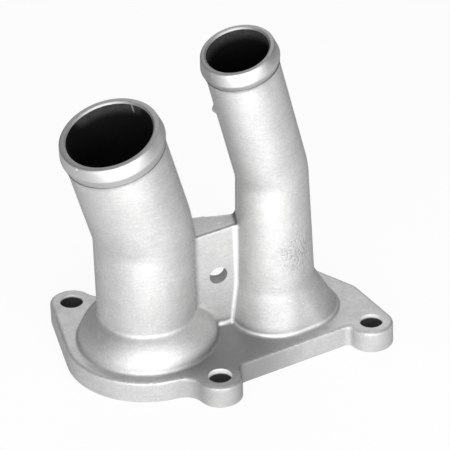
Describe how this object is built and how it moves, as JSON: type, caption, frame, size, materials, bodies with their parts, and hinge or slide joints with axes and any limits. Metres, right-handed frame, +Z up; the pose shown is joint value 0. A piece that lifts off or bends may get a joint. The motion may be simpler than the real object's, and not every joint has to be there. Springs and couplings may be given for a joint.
{
  "type": "thermostat housing",
  "caption": "Bare cast engine coolant outlet housing: a flat eared bolt flange, and bent hose pipes with rolled beads that rise from it and are tied by a drilled web.",
  "frame": {"origin": "middle of the footprint, on the gasket face", "axes": "+Z up from the gasket face along the upright stretch of the pipes, +X from the large port towards the small one, +Y to the back"},
  "size_m": [0.117, 0.0802, 0.1279],
  "materials": {
    "cast_aluminium": "bead-blasted casting"
  },
  "bodies": {
    "root": {"housing": "cast_aluminium"}
  },
  "joints": []
}
